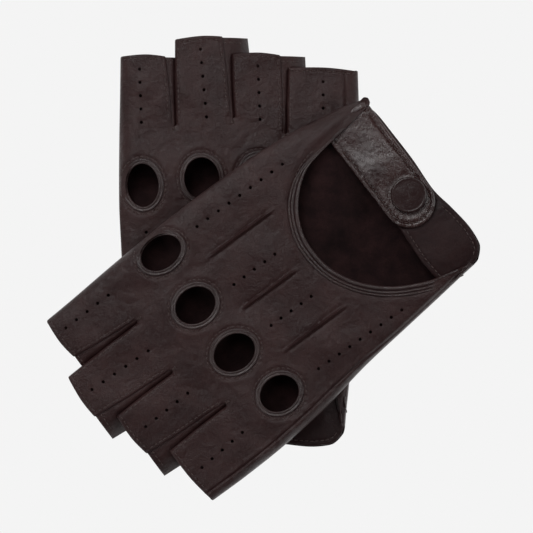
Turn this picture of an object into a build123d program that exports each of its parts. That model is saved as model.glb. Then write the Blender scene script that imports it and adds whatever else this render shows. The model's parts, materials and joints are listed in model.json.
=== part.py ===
"""A pair of fingerless leather driving gloves, laid palm down, the left glove across the right one.

Each glove is drawn once as a right-hand pattern: x runs from the index side to the little side, y from the
wrist to the fingertips, z up from the surface it lies on. The left glove is its mirror image. A glove body is
two leather panels held apart by side walls, so that the hand cavity and the four finger stalls stay open.
"""
from build123d import *
import os
from dataclasses import dataclass
from math import radians, tan

# ---- leather
LEATHER = 0.8            # panels, fourchettes, thumb
STRAP_LEATHER = 0.7      # each of the two layers of the strap and of the band
BINDING_LEATHER = 0.4    # the thin leather folded round a cut edge
BINDING_WIDTH = 1.5      # how far a binding reaches over the panel
BODY_HEIGHT = 13.0       # a glove body, from the palm's outside to the back's outside
FALL_FROM_Y = 123.0      # beyond the knuckle holes the back falls towards the fingertips
FALL_ANGLE = 4.0         # degrees
CLEAR = 0.3              # between pieces that move past each other

# ---- palm outline: width and sideways sway of the middle at three stations along y
WRIST_WIDTH, WRIST_SWAY, WRIST_Y = 83.0, 1.5, 2.5
PALM_WIDTH, PALM_SWAY, PALM_Y = 97.3, 2.4, 55.0
KNUCKLE_WIDTH, KNUCKLE_SWAY, KNUCKLE_Y = 103.5, 7.2, 108.0
WRIST_BOW = 5.0          # how far the wrist edge bows out between its corners

# ---- fingers: index, middle, ring, little
FINGER_NAMES = ("index", "middle", "ring", "little")
FINGER_WIDTHS = (19.0, 20.1, 20.2, 27.4)
TIP_Y = (165.0, 171.0, 163.5, 153.5)
TIP_SLANTS = (-1.0, 0.0, -1.5, -3.0)     # fall of a tip from its index side to its little side
CROTCH_GAP = 1.8                         # width of a slit at its closed end

# ---- knuckle holes, one behind each finger
HOLE_RX = (7.2, 7.9, 8.0, 7.8)
HOLE_RY = (9.6, 9.3, 9.6, 9.0)

# ---- the half-moon opening over the wrist
VENT_X, VENT_Y = 2.5, 20.0
VENT_RX, VENT_RY = 35.0, 36.8
VENT_FLARE = 3.5         # how far its straight sides spread on the way down to the wrist

# ---- thumb, tucked flat under the palm, turning about the middle of its base
THUMB_X, THUMB_Y = -24.0, 46.0
THUMB_BASE_R = 15.0
THUMB_LENGTH = 48.0
THUMB_TIP_WIDTH = 25.0
THUMB_HOLE_R = 10.5
THUMB_HEIGHT = 6.0
THUMB_TUCK = 18.0        # degrees from straight ahead towards the little side
POCKET_MARGIN = 1.6      # room round the thumb in the raised part of the palm

# ---- strap and band
STRAP_ROOT_X = -30.0     # the line where the strap bends as it opens
STRAP_ROOT_Y, STRAP_ROOT_WIDTH = 14.5, 22.4
STRAP_TAIL = 9.0         # how far the strap's sewn tail runs on under the back
STRAP_END_X, STRAP_END_Y, STRAP_END_R = 6.5, 12.4, 10.8
BAND_END_X, BAND_ROOT_X = -8.0, 41.0
BAND_LOW_Y, BAND_HIGH_Y = -0.6, 21.2
BAND_SLOPE_FROM_X, BAND_SLOPE_TO_X = 19.0, 27.0
CUFF_HEM = 6.0           # width of the turned hem inside the wrist edge
CUFF_HEM_HEIGHT = 0.6

# ---- press snap
SNAP_X, SNAP_Y = 3.9, 11.0
SNAP_GAP = 1.7           # between the band's top and the strap's underside
CAP_R, CAP_HEIGHT, CAP_COVER = 7.1, 1.5, 0.5
CAP_SHANK_R = 2.2
SOCKET_R, SOCKET_HEIGHT, SOCKET_BORE_R = 5.2, 1.4, 2.0
SHANK_END = 0.4          # how far the cap's shank reaches into the socket
SPRING_WIRE, SPRING_GROOVE = 0.4, 0.6
SPRING_SLOT = 1.0        # opening in the spring ring
STUD_R, STUD_FLANGE, STUD_HEAD_R, STUD_HEAD_HEIGHT = 4.6, 0.2, 1.7, 1.0
POST_R, POST_FLANGE, POST_SHANK_R = 4.6, 0.4, 1.2
POST_REACH = 0.6         # how far the post's shank reaches into the stud

# ---- heights above the surface that a glove lies on
BACK_Z = BODY_HEIGHT - LEATHER                       # underside of the back panel
STRAP_TOP_Z = BACK_Z - BINDING_LEATHER
STRAP_MID_Z = STRAP_TOP_Z - STRAP_LEATHER            # between the strap's two layers
STRAP_LOW_Z = STRAP_MID_Z - STRAP_LEATHER
BAND_TOP_Z = STRAP_LOW_Z - SNAP_GAP
POCKET_Z = THUMB_HEIGHT + CLEAR                      # underside of the raised part of the palm
CAP_TOP_Z = STRAP_TOP_Z + CAP_HEIGHT + CAP_COVER
STACK_STEP = CAP_TOP_Z + CLEAR + 0.1                 # from one glove's resting surface to the next


@dataclass
class Lay:
    """How one glove lies: where its fingers point, how its back is drawn, and its place in the pair."""
    side: str
    mirrored: bool
    index_tip_x: float       # index side of the index fingertip
    tip_gaps: tuple          # open width of each slit between two fingertips
    little_more: tuple       # how much wider and longer the little finger lies than its pattern
    crotches: tuple          # closed end of each slit
    holes: tuple             # middle of each knuckle hole
    turn: float              # degrees, counterclockwise
    at: tuple                # the wrist's middle
    base_z: float


RIGHT = Lay(
    "right", False, -42.6, (4.2, 3.5, 3.1), little_more=(1.6, 3.0),
    crotches=((-21.5, 135.5), (3.1, 137.3), (24.7, 129.8)),
    holes=((-36.5, 110.8), (-11.1, 112.2), (12.2, 112.5), (35.5, 107.5)),
    turn=3.0, at=(-9.6, -75.0), base_z=0.0,
)
LEFT = Lay(
    "left", True, -39.0, (5.4, 4.8, 4.3), little_more=(0.0, 0.0),
    crotches=((-17.5, 134.5), (8.0, 134.5), (32.0, 124.0)),
    holes=((-34.6, 109.5), (-8.9, 110.2), (16.5, 108.0), (41.2, 102.3)),
    turn=124.7, at=(66.5, 38.8), base_z=STACK_STEP,
)


# ------------------------------------------------------------------ helpers
def prism(face, low, high):
    """A plan face as a solid between two heights."""
    return extrude(Pos(0, 0, low) * face, high - low, dir=(0, 0, 1))


def under_back(drop=0.0):
    """Everything below the back's outside lowered by drop: level over the hand, falling along the fingers."""
    reach = 2 * TIP_Y[1]
    top = BODY_HEIGHT - drop
    fall = (reach - FALL_FROM_Y) * tan(radians(FALL_ANGLE))
    points = [(-reach, top), (FALL_FROM_Y, top), (reach, top - fall), (reach, -reach), (-reach, -reach)]
    return extrude(Plane.YZ * Polygon(*points, align=None), reach, both=True)


def wall(plan):
    """A side wall between the palm's inside and the back's inside."""
    return prism(plan, LEATHER, BACK_Z) & under_back(LEATHER)


def side_points(sign):
    """The palm outline's points on one side (-1 index, +1 little), wrist first."""
    stations = (
        (WRIST_WIDTH, WRIST_SWAY, WRIST_Y),
        (PALM_WIDTH, PALM_SWAY, PALM_Y),
        (KNUCKLE_WIDTH, KNUCKLE_SWAY, KNUCKLE_Y),
    )
    return [(sway + sign * width / 2, y) for width, sway, y in stations]


def tips(lay):
    """Each fingertip's two corners, index side first."""
    wider, longer = lay.little_more
    widths = (*FINGER_WIDTHS[:-1], FINGER_WIDTHS[-1] + wider)
    ends = (*TIP_Y[:-1], TIP_Y[-1] + longer)
    corners, x = [], lay.index_tip_x
    for width, end, slant, gap in zip(widths, ends, TIP_SLANTS, (*lay.tip_gaps, 0)):
        corners.append(((x, end), (x + width, end + slant)))
        x += width + gap
    return corners


def little_side(lay):
    """The little side's points, tip first; a glove that lies narrower at the knuckles is drawn in there."""
    wrist, palm, knuckle = side_points(+1)
    drawn_in = tips(LEFT)[-1][1][0] - tips(lay)[-1][1][0]
    return [tips(lay)[-1][1], (knuckle[0] - drawn_in, knuckle[1]), (palm[0] - drawn_in / 2, palm[1]), wrist]


def index_side(lay):
    """The index side's points, wrist first; the knuckle goes half of the way that the fingertips lean."""
    wrist, palm, knuckle = side_points(-1)
    lean = tips(lay)[0][0][0] - tips(LEFT)[0][0][0]
    return [wrist, palm, (knuckle[0] + lean / 2, knuckle[1]), tips(lay)[0][0]]


def slit_edges(lay, k):
    """The slit between fingers k and k + 1, from one tip down round the crotch to the next."""
    corners, (x, y), half = tips(lay), lay.crotches[k], CROTCH_GAP / 2
    return [
        Line(corners[k][1], (x - half, y)),
        ThreePointArc((x - half, y), (x, y - half), (x + half, y)),
        Line((x + half, y), corners[k + 1][0]),
    ]


def hand_plan(lay):
    """Outline of a panel: palm and four fingers."""
    corners = tips(lay)
    edges = [Spline(*index_side(lay))]
    for k, (start, end) in enumerate(corners):
        edges.append(Line(start, end))
        if k < len(lay.crotches):
            edges += slit_edges(lay, k)
    little = little_side(lay)
    edges.append(Spline(*little))
    wrist_end, wrist_start = little[-1], index_side(lay)[0]
    bow = ((wrist_end[0] + wrist_start[0]) / 2, WRIST_Y - WRIST_BOW)
    edges.append(ThreePointArc(wrist_end, bow, wrist_start))
    return make_face(edges)


def strip_plan(points, inward):
    """A wall's plan: the band between a side's outline and the same line moved sideways."""
    moved = [(x + inward, y) for x, y in points]
    far_end, near_end = Line(points[-1], moved[-1]), Line(moved[0], points[0])
    return make_face([Spline(*points), far_end, Spline(*moved[::-1]), near_end])


def side_walls(lay):
    """Both side walls' plans; edgings and hems stop at them."""
    return strip_plan(index_side(lay), LEATHER) + strip_plan(little_side(lay), -LEATHER)


def hole_plan(lay, k, grow=0.0):
    return Pos(*lay.holes[k]) * Ellipse(HOLE_RX[k] + grow, HOLE_RY[k] + grow)


def vent_plan(grow=0.0):
    """The half-moon opening, run out past the wrist edge."""
    run_out = -4 * WRIST_BOW
    arch = EllipticalCenterArc((VENT_X, VENT_Y), VENT_RX + grow, VENT_RY + grow, 0, arc_size=180)
    right, left = arch @ 0, arch @ 1
    low_right, low_left = (right.X + VENT_FLARE, run_out), (left.X - VENT_FLARE, run_out)
    return make_face([arch, Line(left, low_left), Line(low_left, low_right), Line(low_right, right)])


def pocket_plan():
    """The part of the palm that is raised over the thumb, open to the index side for the thumb's swing."""
    reach = THUMB_LENGTH + POCKET_MARGIN + 1.6
    swing = Circle(reach)
    widest = max(THUMB_BASE_R, THUMB_TIP_WIDTH / 2) + POCKET_MARGIN
    tuck = Rot(0, 0, -THUMB_TUCK) * Rectangle(widest, reach, align=(Align.MIN, Align.MIN))
    inner = Circle(THUMB_BASE_R + POCKET_MARGIN)
    sector = swing & (Pos(-reach, 0) * Rectangle(reach, reach, align=(Align.MIN, Align.MIN)))
    ahead = Rot(0, 0, -THUMB_TUCK) * (swing & Rectangle(reach, reach, align=(Align.MAX, Align.MIN)))
    lower_left = Pos(-2 * reach, -THUMB_BASE_R - POCKET_MARGIN) * Rectangle(
        2 * reach, reach + THUMB_BASE_R + POCKET_MARGIN, align=(Align.MIN, Align.MIN)
    )
    return Pos(THUMB_X, THUMB_Y) * (sector + ahead + (swing & tuck) + inner + lower_left)


def thumb_plan(grow=0.0):
    """The flattened thumb from above, base circle to cut-off tip, pointing straight ahead."""
    base = Circle(THUMB_BASE_R + grow)
    half, tip = THUMB_BASE_R + grow, THUMB_TIP_WIDTH / 2 + grow
    return base + Polygon((-half, 0), (half, 0), (tip, THUMB_LENGTH), (-tip, THUMB_LENGTH), align=None)


# ------------------------------------------------------------------ leather body
def back_panel(lay):
    plan = hand_plan(lay) - vent_plan()
    for k in range(len(FINGER_NAMES)):
        plan -= hole_plan(lay, k, BINDING_LEATHER)
    return prism(plan, 0, BODY_HEIGHT) & (under_back() - under_back(LEATHER))


def palm_panel(lay):
    """The palm, raised over the thumb, with the fold that carries it round the index side."""
    hand, pocket = hand_plan(lay), pocket_plan()
    fold = strip_plan(index_side(lay), LEATHER) & hand
    rim = offset(pocket, LEATHER) - pocket
    entry = Pos(THUMB_X, THUMB_Y) * Circle(THUMB_HOLE_R)
    raised = prism((hand & pocket) - entry, POCKET_Z, POCKET_Z + LEATHER)
    flat = prism(hand - pocket, 0, LEATHER)
    step = prism(rim & hand, 0, POCKET_Z + LEATHER)
    upper_fold = prism(fold, POCKET_Z, BACK_Z)
    lower_fold = prism(fold - pocket, 0, BACK_Z)
    return raised + flat + step + ((upper_fold + lower_fold) & under_back(LEATHER))


def side_strip(lay):
    """The wall down the little side, from the fingertip to the wrist."""
    return wall(strip_plan(little_side(lay), -LEATHER) & hand_plan(lay))


def fourchette(lay, k):
    """The forked strip between two fingers: both finger walls and the crotch that joins them."""
    corners = tips(lay)
    closing = Line(corners[k + 1][0], corners[k][1])
    slit = make_face([*slit_edges(lay, k), closing])
    return wall(offset(slit, LEATHER) & hand_plan(lay))


def knuckle_binding(lay, k):
    """The folded edging of a knuckle hole, within the glove's side walls."""
    ring = hole_plan(lay, k, BINDING_WIDTH) - hole_plan(lay, k) - side_walls(lay)
    lips = prism(ring, BACK_Z - BINDING_LEATHER, BODY_HEIGHT + BINDING_LEATHER)
    around = hole_plan(lay, k, 2 * BINDING_WIDTH) - hole_plan(lay, k, BINDING_LEATHER)
    return lips - prism(around, BACK_Z, BODY_HEIGHT)


def vent_binding(lay):
    """The folded edging of the half-moon opening, within the glove's side walls."""
    hand = hand_plan(lay)
    edging = ((vent_plan(BINDING_WIDTH) - vent_plan(-BINDING_LEATHER)) & hand) - side_walls(lay)
    lips = prism(edging, BACK_Z - BINDING_LEATHER, BODY_HEIGHT + BINDING_LEATHER)
    return lips - prism(hand - vent_plan(), BACK_Z, BODY_HEIGHT)


def cuff_hem(lay):
    """The turned hem inside the palm's wrist edge, between the two side walls."""
    hand = hand_plan(lay)
    inside = hand - side_walls(lay)
    hem = inside - Pos(0, CUFF_HEM) * hand
    low = Pos(-WRIST_WIDTH, -2 * WRIST_WIDTH) * Rectangle(
        2 * WRIST_WIDTH, 2 * WRIST_WIDTH + WRIST_Y + CUFF_HEM, align=(Align.MIN, Align.MIN)
    )
    return prism(hem & low, LEATHER, LEATHER + CUFF_HEM_HEIGHT)


def thumb(lay):
    """A flat tube, open at the tip, with a round hole in its upper side where it meets the palm."""
    outer, inner = thumb_plan(), thumb_plan(-LEATHER)
    mouth = Pos(0, THUMB_LENGTH) * Rectangle(THUMB_TIP_WIDTH - 2 * LEATHER, 4 * LEATHER)
    cavity = prism(inner + mouth, LEATHER, THUMB_HEIGHT - LEATHER)
    entry = prism(Circle(THUMB_HOLE_R), THUMB_HEIGHT / 2, 2 * THUMB_HEIGHT)
    return Pos(THUMB_X, THUMB_Y) * Rot(0, 0, -THUMB_TUCK) * (prism(outer, 0, THUMB_HEIGHT) - cavity - entry)


# ------------------------------------------------------------------ strap and band
def strap_plan():
    """The moving strap: straight root edge, sides closing in, round end."""
    low, high = STRAP_ROOT_Y - STRAP_ROOT_WIDTH / 2, STRAP_ROOT_Y + STRAP_ROOT_WIDTH / 2
    sides = Polygon(
        (STRAP_ROOT_X, low),
        (STRAP_END_X, STRAP_END_Y - STRAP_END_R),
        (STRAP_END_X, STRAP_END_Y + STRAP_END_R),
        (STRAP_ROOT_X, high),
        align=None,
    )
    return sides + Pos(STRAP_END_X, STRAP_END_Y) * Circle(STRAP_END_R)


def strap_layer(low, high):
    return prism(strap_plan() - Pos(SNAP_X, SNAP_Y) * Circle(CAP_SHANK_R), low, high)


def strap_tail(lay):
    """The strap's fixed end, sewn under the back panel beside the fold."""
    from_x = STRAP_ROOT_X - 2 * STRAP_LEATHER - STRAP_TAIL
    plan = Rectangle(STRAP_TAIL, STRAP_ROOT_WIDTH, align=(Align.MIN, Align.CENTER))
    tail = Pos(from_x, STRAP_ROOT_Y) * plan
    room = hand_plan(lay) - strip_plan(index_side(lay), LEATHER + CLEAR)
    return prism(tail & room, STRAP_LOW_Z, STRAP_TOP_Z)


def band_layer(drop):
    """One layer of the band, high at its sewn root and lower where it carries the stud."""
    high, low = STRAP_TOP_Z - drop, BAND_TOP_Z - drop
    slope = [(BAND_SLOPE_TO_X, high), (BAND_SLOPE_FROM_X, low)]
    line = [(BAND_ROOT_X, high), *slope, (BAND_END_X, low)]
    under = [(x, z - STRAP_LEATHER) for x, z in line[::-1]]
    side_view = Polygon(*line, *under, align=None)
    solid = extrude(Plane.XZ * side_view, 2 * BAND_HIGH_Y, both=True)
    width = BAND_HIGH_Y - BAND_LOW_Y
    end_r = width / 4
    plan = Pos((BAND_END_X + BAND_ROOT_X) / 2, (BAND_LOW_Y + BAND_HIGH_Y) / 2) * RectangleRounded(
        BAND_ROOT_X - BAND_END_X, width, end_r
    )
    plan -= Pos(SNAP_X, SNAP_Y) * Circle(POST_SHANK_R)
    return solid & prism(plan, 0, BODY_HEIGHT)


# ------------------------------------------------------------------ snap
def disc(radius, low, high):
    return prism(Circle(radius), low, high)


def snap_parts():
    """The press snap's pieces about their own axis: four that ride on the strap, then two on the band."""
    cap_low, cap_high = STRAP_TOP_Z, STRAP_TOP_Z + CAP_HEIGHT
    socket_top, socket_low = STRAP_LOW_Z, STRAP_LOW_Z - SOCKET_HEIGHT
    shank_low = STRAP_LOW_Z - SHANK_END
    cap = disc(CAP_R, cap_low, cap_high) + disc(CAP_SHANK_R, shank_low, cap_low)
    cap = fillet(cap.edges().group_by(Axis.Z)[-1], CAP_HEIGHT / 3)
    cover_r = CAP_R + CAP_COVER
    cover = disc(cover_r, cap_low, cap_high + CAP_COVER)
    cover = fillet(cover.edges().group_by(Axis.Z)[-1], CAP_HEIGHT / 2) - cap

    socket = disc(SOCKET_R, socket_low, socket_top) - disc(CAP_SHANK_R, shank_low, socket_top)
    socket -= disc(SOCKET_BORE_R, socket_low, socket_top)
    groove_low = socket_low + (SOCKET_HEIGHT - SHANK_END - SPRING_GROOVE) / 2
    groove_r = SOCKET_BORE_R + SPRING_GROOVE
    socket -= disc(groove_r, groove_low, groove_low + SPRING_GROOVE)

    spring_low = groove_low + (SPRING_GROOVE - SPRING_WIRE) / 2
    spring = disc(SOCKET_BORE_R + SPRING_WIRE, spring_low, spring_low + SPRING_WIRE)
    spring -= disc(SOCKET_BORE_R, spring_low, spring_low + SPRING_WIRE)
    spring -= Pos(0, -groove_r, spring_low) * Box(SPRING_SLOT, 2 * groove_r, 2 * SPRING_WIRE)

    flange_top = BAND_TOP_Z + STUD_FLANGE
    stud = disc(STUD_R, BAND_TOP_Z, flange_top) + disc(STUD_HEAD_R, flange_top, flange_top + STUD_HEAD_HEIGHT)
    stud -= disc(POST_SHANK_R, BAND_TOP_Z, BAND_TOP_Z + POST_REACH)
    post_top = BAND_TOP_Z - 2 * STRAP_LEATHER
    post = disc(POST_R, post_top - POST_FLANGE, post_top)
    post += disc(POST_SHANK_R, post_top, BAND_TOP_Z + POST_REACH)
    return {
        "snap_cap": cap,
        "snap_cap_cover": cover,
        "snap_socket": socket,
        "snap_spring": spring,
        "snap_stud": stud,
        "snap_post": post,
    }


# ------------------------------------------------------------------ assembly
def glove_parts(lay):
    """Every piece of one glove, in the right-hand pattern's own frame."""
    parts = {
        "back_panel": back_panel(lay),
        "palm_panel": palm_panel(lay),
        "side_strip": side_strip(lay),
        "vent_binding": vent_binding(lay),
        "cuff_hem": cuff_hem(lay),
        "thumb": thumb(lay),
        "strap_tail": strap_tail(lay),
        "strap_outer": strap_layer(STRAP_MID_Z, STRAP_TOP_Z),
        "strap_lining": strap_layer(STRAP_LOW_Z, STRAP_MID_Z),
        "band_outer": band_layer(0),
        "band_lining": band_layer(STRAP_LEATHER),
    }
    for k in range(len(lay.crotches)):
        parts[f"fourchette_{FINGER_NAMES[k]}_{FINGER_NAMES[k + 1]}"] = fourchette(lay, k)
    for k, finger in enumerate(FINGER_NAMES):
        parts[f"knuckle_binding_{finger}"] = knuckle_binding(lay, k)
    for name, piece in snap_parts().items():
        parts[name] = Pos(SNAP_X, SNAP_Y) * piece
    return parts


def placed(lay, shape):
    """A shape of the right-hand pattern where it lies in the pair."""
    if lay.mirrored:
        shape = mirror(shape, about=Plane.YZ)
    return Pos(*lay.at, lay.base_z) * Rot(0, 0, lay.turn) * shape


def build():
    """All nodes of the pair, with the origin under the middle of the pair's footprint."""
    nodes = {}
    for lay in (RIGHT, LEFT):
        for name, piece in glove_parts(lay).items():
            nodes[f"{lay.side}_{name}"] = placed(lay, piece)
    boxes = [piece.bounding_box() for piece in nodes.values()]
    middle_x = (min(box.min.X for box in boxes) + max(box.max.X for box in boxes)) / 2
    middle_y = (min(box.min.Y for box in boxes) + max(box.max.Y for box in boxes)) / 2
    return {name: Pos(-middle_x, -middle_y, 0) * piece for name, piece in nodes.items()}


if __name__ == "__main__":
    os.makedirs("parts", exist_ok=True)
    for node, solid in build().items():
        export_step(solid, f"parts/{node}.step")
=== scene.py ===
"""A pair of fingerless leather driving gloves on a pale floor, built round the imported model's frame.

Every glove is drawn in its own right-hand pattern, in millimetres: x from the index side to the little
side, y from the wrist to the fingertips, z up from the surface that the glove lies on. A Lay puts it in the
row frame.
"""
import json
import math

import bpy
import numpy as np
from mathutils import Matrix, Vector
from mathutils.geometry import delaunay_2d_cdt


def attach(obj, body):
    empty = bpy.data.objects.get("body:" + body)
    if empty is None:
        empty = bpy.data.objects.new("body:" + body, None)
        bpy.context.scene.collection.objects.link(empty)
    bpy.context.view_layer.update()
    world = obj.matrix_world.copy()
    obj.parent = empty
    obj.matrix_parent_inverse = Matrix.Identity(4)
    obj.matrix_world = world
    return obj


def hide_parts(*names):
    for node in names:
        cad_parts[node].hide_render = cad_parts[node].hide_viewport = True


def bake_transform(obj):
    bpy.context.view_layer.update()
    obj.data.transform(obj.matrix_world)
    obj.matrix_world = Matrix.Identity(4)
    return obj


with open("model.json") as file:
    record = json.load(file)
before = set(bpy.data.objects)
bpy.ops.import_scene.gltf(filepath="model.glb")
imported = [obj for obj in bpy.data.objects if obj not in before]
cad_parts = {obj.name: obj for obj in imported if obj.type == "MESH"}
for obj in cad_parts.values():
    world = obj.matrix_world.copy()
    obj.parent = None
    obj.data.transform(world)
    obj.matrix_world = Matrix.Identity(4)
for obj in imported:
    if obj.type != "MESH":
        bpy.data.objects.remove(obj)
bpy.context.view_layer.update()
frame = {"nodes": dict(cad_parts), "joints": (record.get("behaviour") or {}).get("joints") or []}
JOINTS = {joint["name"]: joint for joint in frame["joints"]}
MM = 0.001

# ---- sizes that the pattern shares with the CAD model, in mm
FINGERS = ("index", "middle", "ring", "little")
FINGER_WIDTHS = (19.0, 20.1, 20.2, 27.4)
TIP_Y = (165.0, 171.0, 163.5, 153.5)
TIP_SLANTS = (-1.0, 0.0, -1.5, -3.0)
CROTCH_HALF = 0.9
HOLE_RADII = ((7.2, 9.6), (7.9, 9.3), (8.0, 9.6), (7.8, 9.0))
STRAP_ROOT_X, STRAP_ROOT_Y, STRAP_ROOT_WIDTH = -30.0, 14.5, 22.4
STRAP_END_X, STRAP_END_Y, STRAP_END_R = 6.5, 12.4, 10.8
STRAP_TOP_Z, STRAP_LEATHER = 11.8, 0.7
STRAP_BEND = (-3.2, 2.6)  # where the strap's bend begins and ends, along it from the hinge
BAND_STITCHES = 2.0
SNAP_X, SNAP_Y = 3.9, 11.0
THUMB_X, THUMB_Y, THUMB_TUCK = -24.0, 46.0, math.radians(18.0)
THUMB_BASE_R, THUMB_TIP_HALF, THUMB_LENGTH, THUMB_HEIGHT = 15.0, 12.5, 48.0, 6.0
THUMB_HOLE_R = 10.5
POCKET_Z = 6.3
LEATHER = 0.8

# ---- sizes of the soft shape
HAND_TOP = 12.5          # the back's outside over the middle of the hand
FALL_FROM_Y, FALL_SLOPE = 121.0, 0.072
FOLD_Z, POCKET_FOLD_Z = 5.0, 8.7     # where back and palm meet along the rolled edges
PERFORATION_R = 0.68
HEM_INSET, SEAM_INSET = 1.6, 1.3     # stitching in from a fingertip's edge and from a slit
RING_STITCHES = 2.5      # stitching out from a knuckle hole's edge
POCKET_SLOPE = 15.0      # width of the soft slope round the raised part of the palm
STITCH_PITCH, STITCH_LENGTH, STITCH_R = 2.2, 1.6, 0.22


class Lay:
    """How one glove lies: its place, read from its strap hinge, and the sizes that differ between the two."""

    def __init__(self, side, mirrored, index_x, tip_gaps, little_more, crotches, holes, punch_shifts,
                 flap, flap_fall, seam_inset):
        self.side, self.mirrored, self.seam_inset = side, mirrored, seam_inset
        self.punch_shifts = punch_shifts
        self.crotches, self.flap, self.flap_fall = crotches, flap, flap_fall
        self.holes = [(*middle, *radii) for middle, radii in zip(holes, HOLE_RADII)]
        hinge = JOINTS[f"{side}_strap_hinge"]
        sign = 1 if mirrored else -1
        self.turn = math.atan2(-sign * hinge["axis"][0], sign * hinge["axis"][1])
        self.cos, self.sin = math.cos(self.turn), math.sin(self.turn)
        self.at = np.zeros(3)
        root = self.row(np.array([[STRAP_ROOT_X, STRAP_ROOT_Y, STRAP_TOP_Z]]))[0]
        self.at = np.array(hinge["pos_m"]) - root
        wider, longer = little_more
        widths = (*FINGER_WIDTHS[:-1], FINGER_WIDTHS[-1] + wider)
        ends = (*TIP_Y[:-1], TIP_Y[-1] + longer)
        self.tips, x = [], index_x
        for width, end, slant, gap in zip(widths, ends, TIP_SLANTS, (*tip_gaps, 0)):
            self.tips.append(((x, end), (x + width, end + slant)))
            x += width + gap

    def row(self, points):
        """Pattern points in mm, (n, 3), as row-frame points in metres."""
        x = -points[:, 0] if self.mirrored else points[:, 0]
        y, z = points[:, 1], points[:, 2]
        turned = np.stack([x * self.cos - y * self.sin, x * self.sin + y * self.cos, z], axis=1)
        return turned * MM + self.at


RIGHT = Lay(
    "right", False, -42.6, (4.2, 3.5, 3.1), little_more=(1.6, 3.0),
    crotches=((-21.5, 135.5), (3.1, 137.3), (24.7, 129.8)),
    holes=((-35.9, 110.6), (-11.1, 112.2), (12.8, 111.3), (35.5, 107.5)),
    punch_shifts=((0.7, -0.6), (0.5, 0.7), (0.0, 2.0), (0.0, 3.6)),
    flap=10.4, flap_fall=0.07, seam_inset=4.5,
)
LEFT = Lay(
    "left", True, -39.0, (5.4, 4.8, 4.3), little_more=(0.0, 0.0),
    crotches=((-17.5, 134.5), (8.0, 134.5), (32.0, 124.0)),
    holes=((-35.0, 109.5), (-8.9, 110.2), (16.5, 108.0), (41.2, 102.3)),
    punch_shifts=((0.0, 0.0), (0.0, 0.0), (0.0, 0.0), (0.0, 0.0)),
    flap=11.8, flap_fall=0.02, seam_inset=2.6,
)


# ------------------------------------------------------------------ curves and fields
def resample(points, step):
    """The same line as points about step apart."""
    points = np.asarray(points, float)
    along = np.concatenate([[0], np.cumsum(np.linalg.norm(np.diff(points, axis=0), axis=1))])
    count = max(2, int(round(along[-1] / step)) + 1)
    where = np.linspace(0, along[-1], count)
    return np.stack([np.interp(where, along, points[:, i]) for i in range(points.shape[1])], axis=1)


def smooth(points, step=0.9):
    """A Catmull-Rom curve through the points, as points about step apart."""
    p = np.asarray(points, float)
    p = np.concatenate([2 * p[:1] - p[1:2], p, 2 * p[-1:] - p[-2:-1]])
    t = np.linspace(0, 1, 24, endpoint=False)[:, None]
    out = []
    for a, b, c, d in zip(p, p[1:], p[2:], p[3:]):
        square, cube = 2 * a - 5 * b + 4 * c - d, 3 * b - a - 3 * c + d
        out.append(0.5 * (2 * b + (c - a) * t + square * t**2 + cube * t**3))
    out.append(p[-2:-1])
    return resample(np.concatenate(out), step)


ELLIPSE_STEP = 0.8


def ellipse(hole, grow=0.0):
    x, y, rx, ry = hole
    count = int(2 * math.pi * (rx + ry) / 2 / ELLIPSE_STEP)
    t = np.linspace(0, 2 * math.pi, count, endpoint=False)
    return np.stack([x + (rx + grow) * np.cos(t), y + (ry + grow) * np.sin(t)], axis=1)


def distance(points, line, closed=False):
    """Each point's distance to a line of points, in the plane."""
    line = np.asarray(line, float)
    a = line
    b = np.roll(line, -1, axis=0) if closed else line[1:]
    a = a if closed else line[:-1]
    run = b - a
    best = np.full(len(points), 1e9)
    squares = np.maximum((run**2).sum(1), 1e-12)
    for start in range(0, len(points), 4000):
        p = points[start:start + 4000, None, :2]
        t = np.clip(((p - a) * run).sum(2) / squares, 0, 1)
        gap = p - a - t[..., None] * run
        best[start:start + 4000] = np.sqrt((gap**2).sum(2).min(1))
    return best


def inside(points, loops):
    """Even-odd test of points against closed loops."""
    result = np.zeros(len(points), bool)
    for loop in loops:
        a, b = loop, np.roll(loop, -1, axis=0)
        rise = np.where(np.abs(b[:, 1] - a[:, 1]) < 1e-12, 1e-12, b[:, 1] - a[:, 1])
        for start in range(0, len(points), 4000):
            x, y = points[start:start + 4000, 0:1], points[start:start + 4000, 1:2]
            crosses = (a[:, 1] > y) != (b[:, 1] > y)
            left = x < a[:, 0] + (y - a[:, 1]) / rise * (b[:, 0] - a[:, 0])
            result[start:start + 4000] ^= (crosses & left).sum(1) % 2 == 1
    return result


def ease(t):
    t = np.clip(t, 0, 1)
    return t * t * (3 - 2 * t)


def roll(d, radius):
    """1 at an edge, 0 from radius on: the drop of a rolled edge with a round section."""
    t = 1 - np.clip(d / radius, 0, 1)
    return 1 - np.sqrt(1 - t * t * 0.999)


def bump(d, width):
    return np.exp(-((d / width) ** 2))


def ripple(points, wave, seed, count=14):
    """Smooth random relief of about unit height: a sum of plane waves of nearly one length."""
    rng = np.random.default_rng(seed)
    total = np.zeros(len(points))
    for _ in range(count):
        angle, phase = rng.uniform(0, 2 * math.pi, 2)
        number = 2 * math.pi / (wave * rng.uniform(0.7, 1.5))
        total += np.sin(number * (points[:, 0] * math.cos(angle) + points[:, 1] * math.sin(angle)) + phase)
    return total / math.sqrt(count)


def creases(points, wave, seed):
    """Thin valleys where the relief passes through zero, warped so that no two run alike."""
    warped = points[:, :2] + 0.3 * wave * np.stack(
        [ripple(points, wave, seed + 1), ripple(points, wave, seed + 2)], axis=1
    )
    return bump(ripple(warped, wave, seed), 0.16)


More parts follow.
